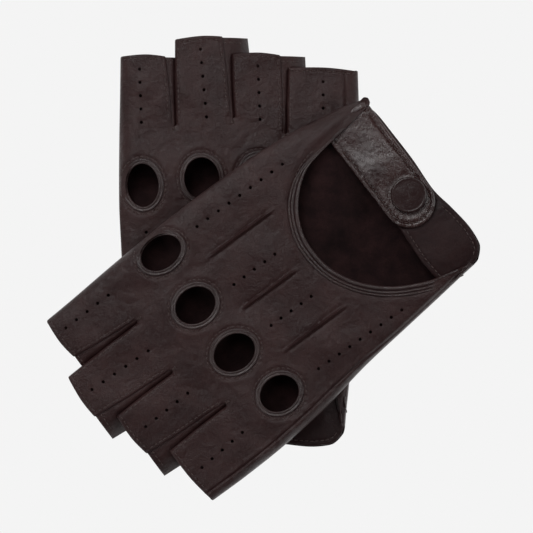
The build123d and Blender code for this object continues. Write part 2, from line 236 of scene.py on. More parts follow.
# ------------------------------------------------------------------ meshes
def new_object(name, points, faces, materials, face_materials=None, sharp=55):
    mesh = bpy.data.meshes.new(name)
    mesh.from_pydata([tuple(p) for p in points], [], [tuple(int(i) for i in f) for f in faces])
    mesh.update()
    for material in materials:
        mesh.materials.append(material)
    if face_materials is not None:
        mesh.polygons.foreach_set("material_index", np.asarray(face_materials, np.int32))
    mesh.polygons.foreach_set("use_smooth", np.ones(len(mesh.polygons), bool))
    mesh.set_sharp_from_angle(angle=math.radians(sharp))
    piece = bpy.data.objects.new(name, mesh)
    bpy.context.scene.collection.objects.link(piece)
    return piece


def triangulate(loops, spacing, lines=(), near=()):
    """Triangles over the area inside the loops: loops and lines are kept as edges, near lines as points."""
    points, edges = [], []
    kept = [(loop, True) for loop in loops] + [(line, False) for line in lines]
    for line, closed in kept:
        base = sum(len(p) for p in points)
        count = len(line)
        points.append(line)
        edges += [(base + i, base + (i + 1) % count) for i in range(count if closed else count - 1)]
    fixed = np.concatenate(points)
    low, high = fixed.min(0), fixed.max(0)
    rows = np.arange(low[1], high[1], spacing * 0.87)
    grid = []
    for i, y in enumerate(rows):
        x = np.arange(low[0] + (i % 2) * spacing / 2, high[0], spacing)
        grid.append(np.stack([x, np.full(len(x), y)], axis=1))
    grid = np.concatenate([*near, *grid])
    grid = grid[inside(grid, loops)]
    gap = np.full(len(grid), 1e9)
    for line, closed in kept:
        near_line = np.all((grid > line.min(0) - spacing) & (grid < line.max(0) + spacing), axis=1)
        gap[near_line] = np.minimum(gap[near_line], distance(grid[near_line], line, closed))
    grid = grid[gap > 0.32]
    every = np.concatenate([fixed, grid])
    out = delaunay_2d_cdt([Vector(p) for p in every], edges, [], 0, 1e-5)
    flat = np.array([tuple(v) for v in out[0]])
    triangles = np.array(out[2])
    centres = flat[triangles].mean(1)
    triangles = triangles[inside(centres, loops)]
    a, b, c = (flat[triangles[:, i]] for i in range(3))
    area = (b[:, 0] - a[:, 0]) * (c[:, 1] - a[:, 1]) - (b[:, 1] - a[:, 1]) * (c[:, 0] - a[:, 0])
    triangles = triangles[np.abs(area) > 1e-7]
    flipped = area[np.abs(area) > 1e-7] < 0
    triangles[flipped] = triangles[flipped][:, ::-1]
    return flat, triangles


def vertex_normals(points, triangles):
    a, b, c = (points[triangles[:, i]] for i in range(3))
    face = np.cross(b - a, c - a)
    normals = np.zeros_like(points)
    for i in range(3):
        np.add.at(normals, triangles[:, i], face)
    return normals / np.maximum(np.linalg.norm(normals, axis=1, keepdims=True), 1e-12)


def thick_sheet(name, lay, flat, triangles, heights, thickness, materials, inward=-1):
    """A leather sheet of real thickness over its outer surface, in outside, inside and edge materials."""
    used = np.unique(triangles)
    renumber = np.zeros(len(flat), int)
    renumber[used] = np.arange(len(used))
    triangles = renumber[triangles]
    outer = np.column_stack([flat[used], heights[used]])
    thick = np.broadcast_to(thickness, len(flat))[used]
    inner = outer + inward * vertex_normals(outer, triangles) * thick[:, None]
    if inward > 0:
        triangles = triangles[:, ::-1]
    count = len(outer)
    sides = np.concatenate([triangles[:, [0, 1]], triangles[:, [1, 2]], triangles[:, [2, 0]]])
    keys = np.sort(sides, axis=1)
    _, first, counts = np.unique(keys, axis=0, return_index=True, return_counts=True)
    rim = sides[first[counts == 1]]
    faces = [*triangles, *(triangles[:, ::-1] + count), *[(b, a, a + count, b + count) for a, b in rim]]
    kinds = [0] * len(triangles) + [1] * len(triangles) + [2] * len(rim)
    if lay.mirrored:
        faces = [f[::-1] for f in faces]
    return new_object(name, lay.row(np.concatenate([outer, inner])), faces, materials, kinds)


def loft(name, lay, rings, material, closed=False, sharp=55):
    """A surface through rings of points, (rings, points, 3), with its open ends capped."""
    rings = np.asarray(rings, float)
    n, m = rings.shape[:2]
    faces = []
    for i in range(n if closed else n - 1):
        j = (i + 1) % n
        for k in range(m):
            q = (k + 1) % m
            faces.append((i * m + k, i * m + q, j * m + q, j * m + k))
    if not closed:
        faces.append(tuple(range(m))[::-1])
        faces.append(tuple((n - 1) * m + k for k in range(m)))
    flat = rings.reshape(-1, 3)
    centre = flat.mean(0)
    corner = [flat[list(f[:4])] for f in faces[: m * 4]]
    outward = sum(
        np.dot(np.cross(q[1] - q[0], q[2] - q[0]), q.mean(0) - rings[min(i // m, n - 1)].mean(0))
        for i, q in enumerate(corner)
    )
    if (outward < 0) != lay.mirrored:
        faces = [f[::-1] for f in faces]
    return new_object(name, lay.row(flat), faces, [material], sharp=sharp)


def across(line, closed=False):
    """Unit vectors to the left of a plane line, at each of its points."""
    if closed:
        run = np.roll(line, -1, axis=0) - np.roll(line, 1, axis=0)
    else:
        run = np.gradient(line, axis=0)
    run = run[:, :2] / np.maximum(np.linalg.norm(run[:, :2], axis=1, keepdims=True), 1e-9)
    return np.stack([-run[:, 1], run[:, 0]], axis=1)


# ------------------------------------------------------------------ outlines of one glove
def index_edge(lay):
    """The fold down the index side, wrist first."""
    lean = lay.tips[0][0][0] - LEFT.tips[0][0][0]
    return smooth([
        (-40.2, 6.0), (-41.1, 8.5), (-42.2, 13.0), (-43.8, 24.0), (-45.2, 36.0), (-46.3, 56.0),
        (-45.7 + 0.2 * lean, 86.0), (-44.4 + 0.5 * lean, 107.0), (-42.4 + 0.7 * lean, 130.0),
        (-40.3 + 0.9 * lean, 150.0), tip_edge(lay, 0)[0],
    ])


def little_edge(lay):
    """The outer edge, fingertip first."""
    d = LEFT.tips[3][1][0] - lay.tips[3][1][0]
    return smooth([
        tip_edge(lay, 3)[-1], (61.7 - d, 133.0), (60.3 - d, 113.0), (57.2 - 0.9 * d, 90.0),
        (52.2 - 0.5 * d, 66.0), (48.4 - 0.2 * d, 40.0), (46.6, 27.4), (44.4, 12.7), (43.4, 5.2),
    ])


def little_seam(lay):
    """The side seam, a few millimetres inboard of the outer edge, running out to it at the wrist."""
    edge = little_edge(lay)
    inset = 1.4 + lay.seam_inset * ease((edge[:, 1] - 45) / 45)
    line = edge - across(edge) * inset[:, None] * (-1 if across(edge)[len(edge) // 2, 0] < 0 else 1)
    return line


def vent_edge():
    """The half-moon opening, radial wrist corner first."""
    return smooth([
        (-36.2, 4.6), (-34.6, 13.0), (-32.6, 25.5), (-29.0, 40.5), (-20.2, 51.2), (-9.0, 56.8), (1.5, 57.6),
        (12.5, 55.2), (23.2, 48.6), (32.1, 38.5), (38.8, 24.5), (41.4, 12.0), (41.9, 5.6),
    ])


def horn_edge():
    """The small rounded end of the radial strip at the wrist, from the opening's side round to the fold."""
    return smooth([(-36.4, 3.4), (-36.9, 2.6), (-37.9, 2.2), (-39.2, 2.5), (-40.1, 3.6), (-40.0, 5.0)], 0.6)


def wrist_edge():
    """The palm's wrist edge, little side first."""
    return smooth([
        (43.3, 4.6), (42.6, 2.4), (39.8, -0.7), (36.5, -2.3), (28.5, -2.6), (18.0, -1.0), (7.7, 0.95),
        (-6.85, 0.85), (-20.0, 1.5), (-32.4, 2.5), (-39.6, 5.4),
    ])


def tip_edge(lay, k):
    (x0, y0), (x1, y1) = lay.tips[k]
    middle = ((x0 + x1) / 2 + 1.0, (y0 + y1) / 2 + 0.9)
    return smooth([(x0, y0 - 0.5), (x0 + 1.2, y0 + 0.1), middle, (x1 - 1.0, y1 + 0.3), (x1, y1 - 0.3)], 0.7)


def slit_sides(lay, k):
    """Finger k's seam edge going down, the closed end, and finger k + 1's rolled edge going up."""
    x, y = lay.crotches[k]
    down = tip_edge(lay, k)[-1]
    up = tip_edge(lay, k + 1)[0]
    seam = smooth([down, ((down[0] + x - CROTCH_HALF) / 2 + 0.25, (down[1] + y) / 2), (x - CROTCH_HALF, y)])
    t = np.linspace(math.pi, 2 * math.pi, 7)[1:-1]
    end = np.stack([x + CROTCH_HALF * np.cos(t), y + CROTCH_HALF * np.sin(t)], axis=1)
    rolled = smooth([(x + CROTCH_HALF, y), ((up[0] + x + CROTCH_HALF) / 2 - 0.25, (up[1] + y) / 2), up])
    return seam, end, rolled


def join(parts):
    """Lines end to end as one closed loop, without doubled points."""
    line = np.concatenate(parts)
    keep = np.linalg.norm(line - np.roll(line, 1, axis=0), axis=1) > 1e-3
    return line[keep]


class Outline:
    """Every edge of one glove's pattern, by kind."""

    def __init__(self, lay):
        self.fold, self.side, self.seam_line = index_edge(lay), little_edge(lay), little_seam(lay)
        self.vent, self.wrist = vent_edge(), wrist_edge()
        self.tips = [tip_edge(lay, k) for k in range(4)]
        self.slits = [slit_sides(lay, k) for k in range(3)]
        fingers = []
        for k in range(4):
            fingers.append(self.tips[k])
            if k < 3:
                fingers += self.slits[k]
        self.back = join([self.fold, *fingers, self.side, self.vent[::-1], horn_edge()])
        self.palm = join([self.fold, *fingers, self.side, self.wrist])


def row_of(start, end, count):
    t = np.linspace(0, 1, count)[:, None]
    return np.array(start) * (1 - t) + np.array(end) * t


def finger_frame(lay, k):
    """A finger's middle line over its perforations, from the upper glove's, leant as this finger leans."""
    base = ((-33.0, 137.6), (-4.5, 137.1), (19.4, 133.6), (45.8, 124.2))[k]
    top = ((-31.9, 159.9), (-4.6, 165.6), (20.9, 156.0), (48.2, 146.4))[k]
    count = (5, 6, 5, 5)[k]
    middle = (lay.tips[k][0][0] + lay.tips[k][1][0]) / 2
    reference = (LEFT.tips[k][0][0] + LEFT.tips[k][1][0]) / 2
    shift = middle - reference
    dx, dy = lay.punch_shifts[k]
    return row_of((base[0] + 0.8 * shift + dx, base[1] + dy), (top[0] + shift + dx, top[1] + dy), count)


BACK_ROWS = (((-35.5, 90.9), (-36.6, 46.9), 9), ((-6.9, 92.0), (-7.6, 70.8), 5),
             ((15.9, 89.0), (15.5, 68.4), 5), ((42.0, 83.0), (41.6, 40.6), 9))
TUCKS = (((-22.1, 96.1), (-23.3, 58.5)), ((3.5, 96.5), (2.8, 64.5)), ((27.9, 92.5), (26.8, 57.0)))


def perforations(lay):
    spots = [row_of(*row) for row in BACK_ROWS] + [finger_frame(lay, k) for k in range(4)]
    return np.concatenate(spots)


# ------------------------------------------------------------------ relief of one glove
class Relief:
    """Heights of a glove's back and palm over any points of the pattern, in mm."""

    def __init__(self, lay, seed):
        self.lay, self.seed, self.lines = lay, seed, Outline(lay)
        self.holes, self.perforations = lay.holes, perforations(lay)
        self.pocket = pocket_outline()

    def level(self, points):
        """The back's general height: a low crown over the hand, falling along the fingers."""
        x, y = points[:, 0], points[:, 1]
        crown = 0.9 * np.clip((x - 4) / 46, -1.2, 1.2) ** 2
        wrist = 1.0 * ease((22 - y) / 30)
        fall = FALL_SLOPE * np.maximum(y - FALL_FROM_Y, 0)
        waves = 0.5 * ripple(points, 34, self.seed) + 0.2 * ripple(points, 14, self.seed + 3)
        return HAND_TOP - crown - wrist - fall + waves * ease((HAND_TOP + 2 - crown) / 3) * 0.8

    def fold_z(self, points):
        """Height of the line where back and palm meet, higher where the thumb passes beneath."""
        y = points[:, 1]
        over_thumb = ease((y - 24) / 12) * ease((112 - y) / 12)
        left = ease((10 - points[:, 0]) / 10)
        return FOLD_Z + (POCKET_FOLD_Z - FOLD_Z) * over_thumb * left

    def back(self, points, fine=True):
        lines = self.lines
        top = self.level(points)
        edge_z = self.fold_z(points)
        z = top.copy()
        for line, low, radius in self.rolled_edges(edge_z, top):
            z = np.minimum(z, top - (top - low) * roll(distance(points, line), radius))
        for seam, _, rolled in lines.slits:
            d_seam, d_rolled = distance(points, seam), distance(points, rolled)
            z -= 0.5 * roll(d_seam, 0.9) + 0.14 * bump(d_seam - SEAM_INSET, 0.4)
            z -= 0.14 * bump(d_rolled - SEAM_INSET, 0.4)
        d_seam = distance(points, lines.seam_line)
        z -= 0.42 * bump(d_seam, 0.5) - 0.26 * bump(d_seam - 1.0, 0.5)
        for k, tip in enumerate(lines.tips):
            d = distance(points, tip)
            z -= 0.5 * roll(d, 0.8) + 0.16 * bump(d - HEM_INSET, 0.45)
            z -= 0.12 * bump(d - 3.4, 1.2) * (0.5 + 0.5 * np.sin(points[:, 0] * 1.9 + k))
        d_vent = distance(points, lines.vent)
        z -= 0.55 * (1 - ease((d_vent - 2.6) / 1.4)) - 0.18 * bump(d_vent - 5.6, 1.2)
        for hole in self.holes:
            d = distance(points, ellipse(hole), closed=True)
            angle = np.arctan2(points[:, 1] - hole[1], points[:, 0] - hole[0])
            pucker = 0.5 + 0.5 * np.sin(26 * angle)
            z -= 0.4 * (1 - ease((d - 1.3) / 0.8)) + (0.26 + 0.08 * pucker) * bump(d - RING_STITCHES, 0.45)
            z += 0.2 * bump(d - RING_STITCHES - 1.5, 1.2)
        for start, end in TUCKS:
            z += self.tuck(points, np.array(start), np.array(end))
        for _, end, _ in lines.slits:
            z -= 0.4 * bump(distance(points, end[2:4]), 2.2)
        if fine:
            z += self.fine(points)
        return z

    def rolled_edges(self, edge_z, top):
        lines = self.lines
        yield lines.fold, edge_z, 7.5
        yield lines.side, np.full(len(top), FOLD_Z), 4.2
        for _, _, rolled in lines.slits:
            yield rolled, top - 1.5, 1.8

    def tuck(self, points, start, end):
        """A raised pin tuck, tapering out at its ends."""
        run = end - start
        t = np.clip(((points[:, :2] - start) @ run) / (run @ run), 0, 1)
        d = np.linalg.norm(points[:, :2] - start - t[:, None] * run, axis=1)
        taper = ease(t / 0.15) * ease((1 - t) / 0.2)
        return taper * (1.05 * bump(d, 0.5) - 0.36 * bump(d - 1.25, 0.5))

    def fine(self, points):
        """Soft creases, stronger near the seams and between the knuckle holes."""
        y = points[:, 1]
        strength = 0.12 + 0.18 * bump(y - 128, 16) + 0.14 * bump(y - 98, 14) + 0.08 * bump(y - 60, 20)
        return -strength * (creases(points, 17, self.seed + 20) + 0.6 * creases(points, 8, self.seed + 30))

    def palm(self, points):
        """The palm's outer face, raised over the thumb."""
        lines = self.lines
        low = 0.05 + 0.12 * (1 + ripple(points, 30, self.seed + 50)) * 0.4
        into = distance(points, self.pocket, closed=True)
        within = inside(points, [self.pocket])
        raised = np.where(within, 1.0, 1 - ease(into / POCKET_SLOPE)) * (POCKET_Z + 0.05)
        z = np.maximum(low, raised)
        for line, meet, radius in (
            (lines.fold, self.fold_z(points) - 0.35, 6.0),
            (lines.side, np.full(len(points), FOLD_Z - 0.35), 4.6),
        ):
            z = np.maximum(z, z + (meet - z) * roll(distance(points, line), radius))
        return z


def pocket_outline():
    """The raised part of the palm: the thumb's whole sweep, from its tucked rest out past the index side."""
    reach, room = THUMB_LENGTH + 3.2, 1.6
    wide = THUMB_BASE_R + room
    ahead = np.array([math.sin(THUMB_TUCK), math.cos(THUMB_TUCK)])
    right = np.array([math.cos(THUMB_TUCK), -math.sin(THUMB_TUCK)])
    base = np.array([THUMB_X, THUMB_Y])

    def arc(radius, angles):
        return [base + radius * np.array([math.cos(a), math.sin(a)]) for a in angles]

    around = arc(wide, np.linspace(-math.pi / 2, -THUMB_TUCK, 12))
    length = math.sqrt(reach**2 - wide**2)
    corner = base + wide * right + length * ahead
    start = math.atan2(*(corner - base)[::-1])
    sweep = arc(reach, np.linspace(start, math.pi, 24))
    return np.array([(-75.0, THUMB_Y - wide), *around, *sweep, (-75.0, THUMB_Y)])


# ------------------------------------------------------------------ materials
class Nodes:
    """A Principled material with short helpers for its texture nodes, all in object coordinates."""

    def __init__(self, name):
        self.material = bpy.data.materials.new(name)
        self.material.use_nodes = True
        self.tree = self.material.node_tree
        self.shader = next(n for n in self.tree.nodes if n.type == "BSDF_PRINCIPLED")
        self.place = self.tree.nodes.new("ShaderNodeTexCoord").outputs["Object"]

    def add(self, kind, links=(), **values):
        node = self.tree.nodes.new(kind)
        for key, value in values.items():
            setattr(node, key, value)
        for socket, source in links:
            if hasattr(source, "links"):
                self.tree.links.new(source, node.inputs[socket])
            else:
                node.inputs[socket].default_value = source
        return node

    def scaled(self, size_mm, place=None):
        return ("Vector", place or self.place), ("Scale", 1 / (size_mm * MM))

    def noise(self, size_mm, detail=3.0, roughness=0.5, place=None):
        links = self.scaled(size_mm, place) + (("Detail", detail), ("Roughness", roughness))
        return self.add("ShaderNodeTexNoise", links).outputs["Fac"]

    def cells(self, size_mm, place=None):
        node = self.add("ShaderNodeTexVoronoi", self.scaled(size_mm, place), feature="DISTANCE_TO_EDGE")
        return node.outputs["Distance"]

    def vector(self, operation, *links):
        return self.add("ShaderNodeVectorMath", links, operation=operation).outputs[0]

    def warped(self, size_mm, amount_mm):
        """Object coordinates pushed about by noise, so that a pattern has no straight runs."""
        colour = self.add("ShaderNodeTexNoise", self.scaled(size_mm)).outputs["Color"]
        centred = self.vector("SUBTRACT", (0, colour), (1, (0.5, 0.5, 0.5)))
        pushed = self.vector("SCALE", (0, centred), ("Scale", amount_mm * MM))
        return self.vector("ADD", (0, self.place), (1, pushed))

    def ranged(self, value, low, high, to_low, to_high):
        names = ("Value", "From Min", "From Max", "To Min", "To Max")
        links = zip(names, (value, low, high, to_low, to_high))
        return self.add("ShaderNodeMapRange", links).outputs["Result"]

    def mixed(self, factor, first, second):
        node = self.add("ShaderNodeMix", (("Factor", factor),), data_type="RGBA")
        for slot, value in ((6, first), (7, second)):
            if hasattr(value, "links"):
                self.tree.links.new(value, node.inputs[slot])
            else:
                node.inputs[slot].default_value = value
        return node.outputs[2]

    def bumped(self, layers):
        """A chain of bump nodes: (height, depth in mm, strength) from coarse to fine."""
        normal = None
        for height, depth, strength in layers:
            links = [("Height", height), ("Distance", depth * MM), ("Strength", strength)]
            if normal is not None:
                links.append(("Normal", normal))
            normal = self.add("ShaderNodeBump", links).outputs["Normal"]
        self.tree.links.new(normal, self.shader.inputs["Normal"])

    def link(self, source, socket):
        self.tree.links.new(source, self.shader.inputs[socket])

    def set(self, **values):
        for key, value in values.items():
            self.shader.inputs[key.replace("_", " ")].default_value = value


def srgb(red, green, blue):
    """A colour from 0 to 255 sRGB values."""
    def linear(c):
        c /= 255
        return c / 12.92 if c <= 0.04045 else ((c + 0.055) / 1.055) ** 2.4
    return (linear(red), linear(green), linear(blue), 1.0)


def leather_material(name, light, dark, roughness, specular, grain_relief, crinkle_relief):
    """Full-grain leather: pebbled grain with painted shade in its hollows, crinkles, patches of lighter and
    darker tone, uneven sheen from varied roughness.
    """
    n = Nodes(name)
    light, dark = srgb(*light), srgb(*dark)
    place = n.warped(2.5, 0.9)
    patches = n.noise(16, 4.0, 0.6)
    mottle = n.noise(1.6, 3.0)
    grain = n.cells(grain_relief[0], place)
    grain_wide = n.ranged(grain, 0.0, 0.22, 0.0, 1.0)
    pores = n.ranged(n.noise(0.34, 2.0), 0.58, 0.72, 1.0, 0.0)
    crinkle = n.noise(crinkle_relief[0], 5.0, 0.62, n.warped(9, 5.0))
    folded = n.ranged(crinkle, 0.44, 0.56, 0.0, 1.0)
    tone = n.mixed(n.ranged(patches, 0.32, 0.68, 0.0, 1.0), dark, light)
    tone = n.mixed(n.ranged(mottle, 0.35, 0.75, 0.0, 0.45), tone, dark)
    # Painted shade: the hollows between the grain's cells are painted darker, towards 0.45 of the dark tone.
    tone = n.mixed(n.ranged(grain, 0.0, 0.1, 0.5, 0.0), tone, tuple(0.45 * c for c in dark[:3]) + (1.0,))
    n.link(tone, "Base Color")
    sheen = n.add("ShaderNodeMath", ((0, patches), (1, mottle)), operation="ADD").outputs[0]
    n.link(n.ranged(sheen, 0.6, 1.4, roughness - 0.07, roughness + 0.09), "Roughness")
    n.bumped((
        (folded, crinkle_relief[1], 0.55),
        (n.noise(5.5, 4.0, 0.55), 0.35, 0.5),
        (grain_wide, grain_relief[1], 0.75),
        (pores, 0.03, 0.35),
    ))
    n.set(Specular_IOR_Level=specular)
    return n.material


def suede_material(name, light, dark):
    """The flesh side: matt, napped, with brushed patches."""
    n = Nodes(name)
    brushed = n.noise(7, 5.0, 0.65, n.warped(12, 6.0))
    nap = n.noise(0.45, 4.0, 0.7)
    tone = n.mixed(n.ranged(brushed, 0.35, 0.65, 0.0, 1.0), dark, light)
    tone = n.mixed(n.ranged(nap, 0.4, 0.7, 0.0, 0.5), tone, dark)
    n.link(tone, "Base Color")
    n.link(n.ranged(nap, 0.3, 0.7, 0.86, 0.98), "Roughness")
    n.bumped(((brushed, 0.4, 0.5), (nap, 0.16, 0.8)))
    n.set(Specular_IOR_Level=0.1, Sheen_Weight=0.03, Sheen_Roughness=0.6)
    return n.material


def thread_material(name, light, dark):
    n = Nodes(name)
    links = n.scaled(1.1) + (("Distortion", 1.5),)
    twist = n.add("ShaderNodeTexWave", links, bands_direction="DIAGONAL").outputs["Fac"]
    n.link(n.mixed(n.ranged(twist, 0.2, 0.8, 0.0, 1.0), dark, light), "Base Color")
    n.link(n.ranged(n.noise(0.8), 0.3, 0.7, 0.42, 0.6), "Roughness")
    n.bumped(((twist, 0.06, 0.7),))
    return n.material


def metal_material(name, light, dark, roughness):
    """Plated metal: fine brushing, faint tarnish."""
    n = Nodes(name)
    tarnish = n.noise(2.2, 4.0, 0.6)
    scratch = n.noise(0.16, 2.0, 0.5)
    n.link(n.mixed(n.ranged(tarnish, 0.4, 0.7, 0.0, 1.0), light, dark), "Base Color")
    n.link(n.ranged(scratch, 0.3, 0.7, roughness - 0.08, roughness + 0.12), "Roughness")
    n.bumped(((scratch, 0.01, 0.5),))
    n.set(Metallic=1.0)
    return n.material


# leathers: light and dark tone, roughness, specular level, grain and crinkle as (size, depth) in mm
NAPPA = leather_material("nappa", (61, 39, 38), (43, 25, 25), 0.38, 0.27, (0.55, 0.06), (7.0, 0.2))
STRAP_NAPPA = leather_material(
    "strap_nappa", (62, 36, 34), (40, 21, 21), 0.25, 0.72, (0.6, 0.04), (3.2, 0.16)
)
BINDING_NAPPA = leather_material(
    "binding_nappa", (60, 40, 39), (43, 27, 27), 0.32, 0.6, (0.45, 0.045), (3.0, 0.12)
)
# The band's nappa is painted darker than the glove's: painted shade for the wrist end, which tilts away from
# the light.
NAPPA_PAINTED_SHADE_BAND = leather_material("nappa_painted_shade_band", (47, 29, 29), (34, 20, 21), 0.42, 0.16, (0.5, 0.04), (8.0, 0.08))
CAP_NAPPA = leather_material("cap_nappa", (48, 30, 29), (40, 24, 24), 0.24, 0.45, (0.5, 0.012), (8.0, 0.02))
SUEDE = suede_material("suede", srgb(42, 25, 25), srgb(25, 13, 14))
CUT_EDGE = suede_material("cut_edge", srgb(50, 33, 32), srgb(30, 18, 18))
THREAD = thread_material("thread", srgb(82, 63, 60), srgb(42, 28, 27))
NICKEL = metal_material("nickel", (0.66, 0.64, 0.6, 1.0), (0.42, 0.4, 0.38, 1.0), 0.3)
BRONZE = metal_material("spring_bronze", (0.62, 0.42, 0.2, 1.0), (0.4, 0.26, 0.13, 1.0), 0.34)
SKIN = (NAPPA, SUEDE, CUT_EDGE)
# The linings' under faces use the band's nappa with its painted shade.
LINING_SKIN = (SUEDE, NAPPA_PAINTED_SHADE_BAND, CUT_EDGE)


# ------------------------------------------------------------------ pieces
def offsets(line, distances, closed=False):
    """The line moved sideways by each distance, on both sides."""
    side = across(line, closed)
    return [line[:, :2] + side * d for d in distances for d in (d, -d)]


def inset(line, d, loops):
    """The line moved by d to the side that lies inside the loops, without the points that fall outside."""
    sides = [line + across(line) * d, line - across(line) * d]
    return max((s[inside(s, loops)] for s in sides), key=len)


def merge(pieces):
    first = pieces[0]
    with bpy.context.temp_override(
        active_object=first, object=first, selected_editable_objects=pieces, selected_objects=pieces
    ):
        bpy.ops.object.join()
    return first


def finished(piece, lay, part, nodes=None):
    """Rides the piece on its body, and lets it stand for its CAD nodes."""
    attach(piece, f"{lay.side}_{part}")
    if nodes:
        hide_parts(*[f"{lay.side}_{node}" for node in nodes])
    return piece


def circle(centre, radius, count, turn=0.0):
    t = np.linspace(0, 2 * math.pi, count, endpoint=False) + turn
    return np.stack([centre[0] + radius * np.cos(t), centre[1] + radius * np.sin(t)], axis=1)


def shell_near(relief):
    """Extra points where the relief is tight: rolled edges, hems, tucks, stitch grooves, perforations."""
    lines, near = relief.lines, []
    near += offsets(lines.fold, (0.35, 0.9, 1.7))
    near += offsets(lines.side, (0.35, 0.9, 1.7))
    near += offsets(lines.seam_line, (0.5, 1.0))
    for tip in lines.tips:
        near += offsets(tip, (0.5, 1.1, HEM_INSET, 2.1, 2.8))
    for seam, _, rolled in lines.slits:
        near += offsets(seam, (0.4, 0.9, SEAM_INSET, 1.8)) + offsets(rolled, (0.35, 0.9, SEAM_INSET, 1.8))
    for hole in relief.holes:
        near += [ellipse(hole, RING_STITCHES + grow) for grow in (-1.3, -0.5, 0.0, 0.5)]
    for start, end in TUCKS:
        middle = resample([start, end], 0.8)
        near += [middle, *offsets(middle, (0.35, 0.7, 1.2, 1.8))]
    near += [circle(spot, 1.05, 10, 0.3) for spot in relief.perforations]
    return near


def make_shell(relief):
    """Back panel and side strip, cut from one triangulation so that they meet along the seam."""
    lay, lines = relief.lay, relief.lines
    loops = [lines.back, *[ellipse(hole, 0.2) for hole in relief.holes]]
    loops += [circle(spot, PERFORATION_R, 10) for spot in relief.perforations]
    flat, triangles = triangulate(loops, 1.15, [lines.seam_line[2:-2]], shell_near(relief))
    heights = relief.back(flat)
    spots = relief.perforations
    for start in range(0, len(flat), 8000):
        gap = np.linalg.norm(flat[start:start + 8000, None] - spots, axis=2).min(1)
        heights[start:start + 8000] -= 0.16 * bump(gap, 1.0)
    hem = np.min([distance(flat, tip) for tip in lines.tips], axis=0)
    thickness = LEATHER + 0.6 * (1 - ease((hem - 2.7) / 0.5))
    centres = flat[triangles].mean(1)
    order = np.argsort(lines.seam_line[:, 1])
    seam_x = np.interp(centres[:, 1], lines.seam_line[order, 1], lines.seam_line[order, 0])
    strip = (centres[:, 0] > seam_x) & (centres[:, 1] < lines.seam_line[:, 1].max() + 1)
    back = thick_sheet(f"{lay.side}_back", lay, flat, triangles[~strip], heights, thickness, SKIN)
    side = thick_sheet(f"{lay.side}_side", lay, flat, triangles[strip], heights - 0.05, thickness, SKIN)
    finished(back, lay, "glove", ["back_panel"])
    finished(side, lay, "glove", ["side_strip"])


def thumb_entry():
    """The thumb's way in through the palm, fallen shut to a narrow opening beside the half-moon's edge."""
    along, beside = np.array([0.632, 0.775]), np.array([-0.775, 0.632])
    middle = np.array([THUMB_X, THUMB_Y]) + 6.0 * beside
    t = np.linspace(0, 2 * math.pi, 40, endpoint=False)[:, None]
    return middle + 8.0 * np.cos(t) * along + 2.6 * np.sin(t) * beside


def make_palm(relief):
    lay, lines = relief.lay, relief.lines
    near = offsets(lines.fold, (0.35, 0.9, 1.7)) + offsets(lines.side, (0.35, 0.9, 1.7))
    near += offsets(relief.pocket, (0.7, 1.5, 2.4), closed=True)
    flat, triangles = triangulate([lines.palm, thumb_entry()], 1.7, (), near)
    heights = relief.palm(flat)
    palm = thick_sheet(f"{lay.side}_palm", lay, flat, triangles, heights, LEATHER, SKIN, inward=1)
    finished(palm, lay, "glove", ["palm_panel"])


def make_hem(relief):
    """The turned hem along the palm's wrist edge, on the inside."""
    lay, lines = relief.lay, relief.lines
    edge = lines.wrist[3:-4]
    inner = inset(edge, 6.0, [lines.palm])
    loop = np.concatenate([inset(edge, 0.25, [lines.palm]), inner[::-1]])
    flat, triangles = triangulate([loop], 1.2)
    d = distance(flat, edge)
    base = relief.palm(flat) + LEATHER
    heights = base + 0.62 - 0.4 * roll(6.0 - d, 0.7) - 0.3 * roll(d, 0.8) - 0.22 * bump(d - 3.0, 0.5)
    heights += 0.06 * ripple(flat, 5, relief.seed + 60)
    hem = thick_sheet(f"{lay.side}_hem", lay, flat, triangles, heights, 0.6, SKIN)
    finished(hem, lay, "glove", ["cuff_hem"])
    path = inset(edge, 3.0, [lines.palm])
    return np.column_stack([path, relief.palm(path) + LEATHER + 0.5])


FLAP_RINGS, FLAP_ROOT_WIDTH = 34, 6.0
CROTCH_COVER = 3.0       # how far a fourchette runs on below its slit's closed end
FLAP_UNDER = 1.4         # how far a fourchette dives to pass under the next finger


def gusset_height(relief, k, points, seam, width):
    """A fourchette's outer surface, falling from finger k's seam to the palm under the next finger."""
    x, y = points[:, 0], points[:, 1]
    rolled = relief.lines.slits[k][2]
    t = np.clip((x - np.interp(y, seam[::-1, 1], seam[::-1, 0])) / width, 0, 1)
    beyond = x - np.interp(y, rolled[:, 1], rolled[:, 0])
    covered = ease((beyond + 1.3) / 1.5) * ease((rolled[-1, 1] + 0.5 - y) / 1.0)
    top = relief.level(points) - 1.0 - FLAP_UNDER * covered
    folds = 0.18 * ripple(points, 7, relief.seed + 70 + k) * np.sin(math.pi * t)
    return 1.0 + (top - 1.0) * (1 - t**2.6) + folds


